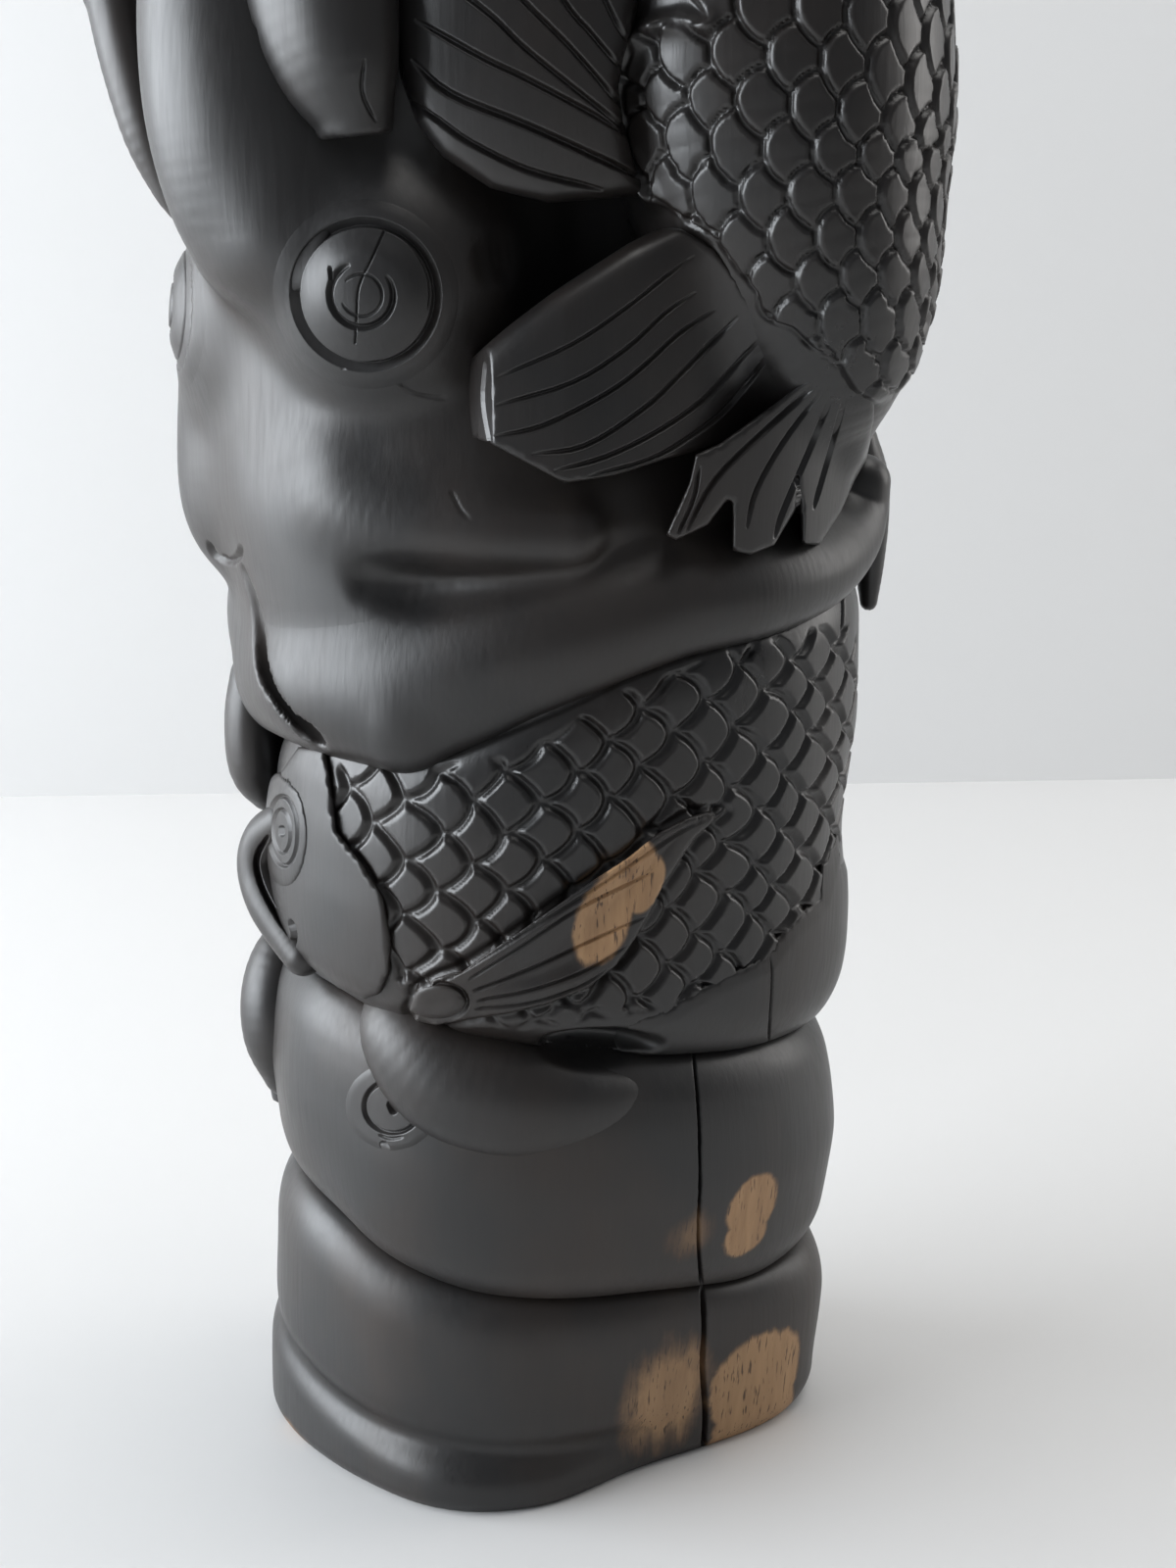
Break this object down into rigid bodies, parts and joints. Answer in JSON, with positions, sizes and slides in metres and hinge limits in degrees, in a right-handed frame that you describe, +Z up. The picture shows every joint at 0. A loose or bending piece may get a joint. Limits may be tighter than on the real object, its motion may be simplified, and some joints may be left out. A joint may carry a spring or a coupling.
{
  "type": "carved totem figure",
  "caption": "Tall hardwood totem carving of stacked, entwined fish, dolphins and a big-mouthed sea creature, polished near-black with ribbed fins and scales.",
  "frame": {"origin": "centre of the plan of the whole carving, on the plane that the foot rests on", "axes": "+Z up along the billet; -Y is the side the main view looks at; the heads look towards -X"},
  "size_m": [0.1758, 0.1354, 0.4276],
  "materials": {
    "wood_smooth": "near-black stained hardwood, hand rubbed to a satin polish, bare brown where worn",
    "wood_scaled": "near-black stained hardwood carved with overlapping scales, satin polish",
    "wood_ribbed": "near-black stained hardwood with chiselled fin ribs, satin polish"
  },
  "bodies": {
    "root": {"base": "wood_smooth", "lower_dolphin_body": "wood_smooth", "lower_dolphin_flipper": "wood_smooth", "lower_dolphin_eye": "wood_smooth", "lower_dolphin_beak": "wood_smooth", "lower_fish_body": "wood_scaled", "lower_fish_cheek": "wood_smooth", "lower_fish_lips": "wood_smooth", "lower_fish_eye": "wood_smooth", "lower_fish_pectoral_fin": "wood_ribbed", "lower_fish_tail": "wood_smooth", "jaw_side_fin": "wood_ribbed", "big_head": "wood_smooth", "big_head_eye_near": "wood_smooth", "big_head_eye_far": "wood_smooth", "big_head_lip_near": "wood_smooth", "big_head_lip_far": "wood_smooth", "fluke_near": "wood_smooth", "fluke_far": "wood_smooth", "far_flipper": "wood_smooth", "upper_dolphin_body": "wood_smooth", "upper_dolphin_beak": "wood_smooth", "upper_fish_body": "wood_scaled", "upper_fish_head": "wood_scaled", "upper_fish_eye": "wood_smooth", "upper_fish_side_fin": "wood_ribbed", "upper_fish_dorsal_fin": "wood_ribbed", "upper_fish_tail_upper": "wood_ribbed", "upper_fish_tail_lower": "wood_ribbed", "rear_fin": "wood_ribbed"}
  },
  "joints": []
}
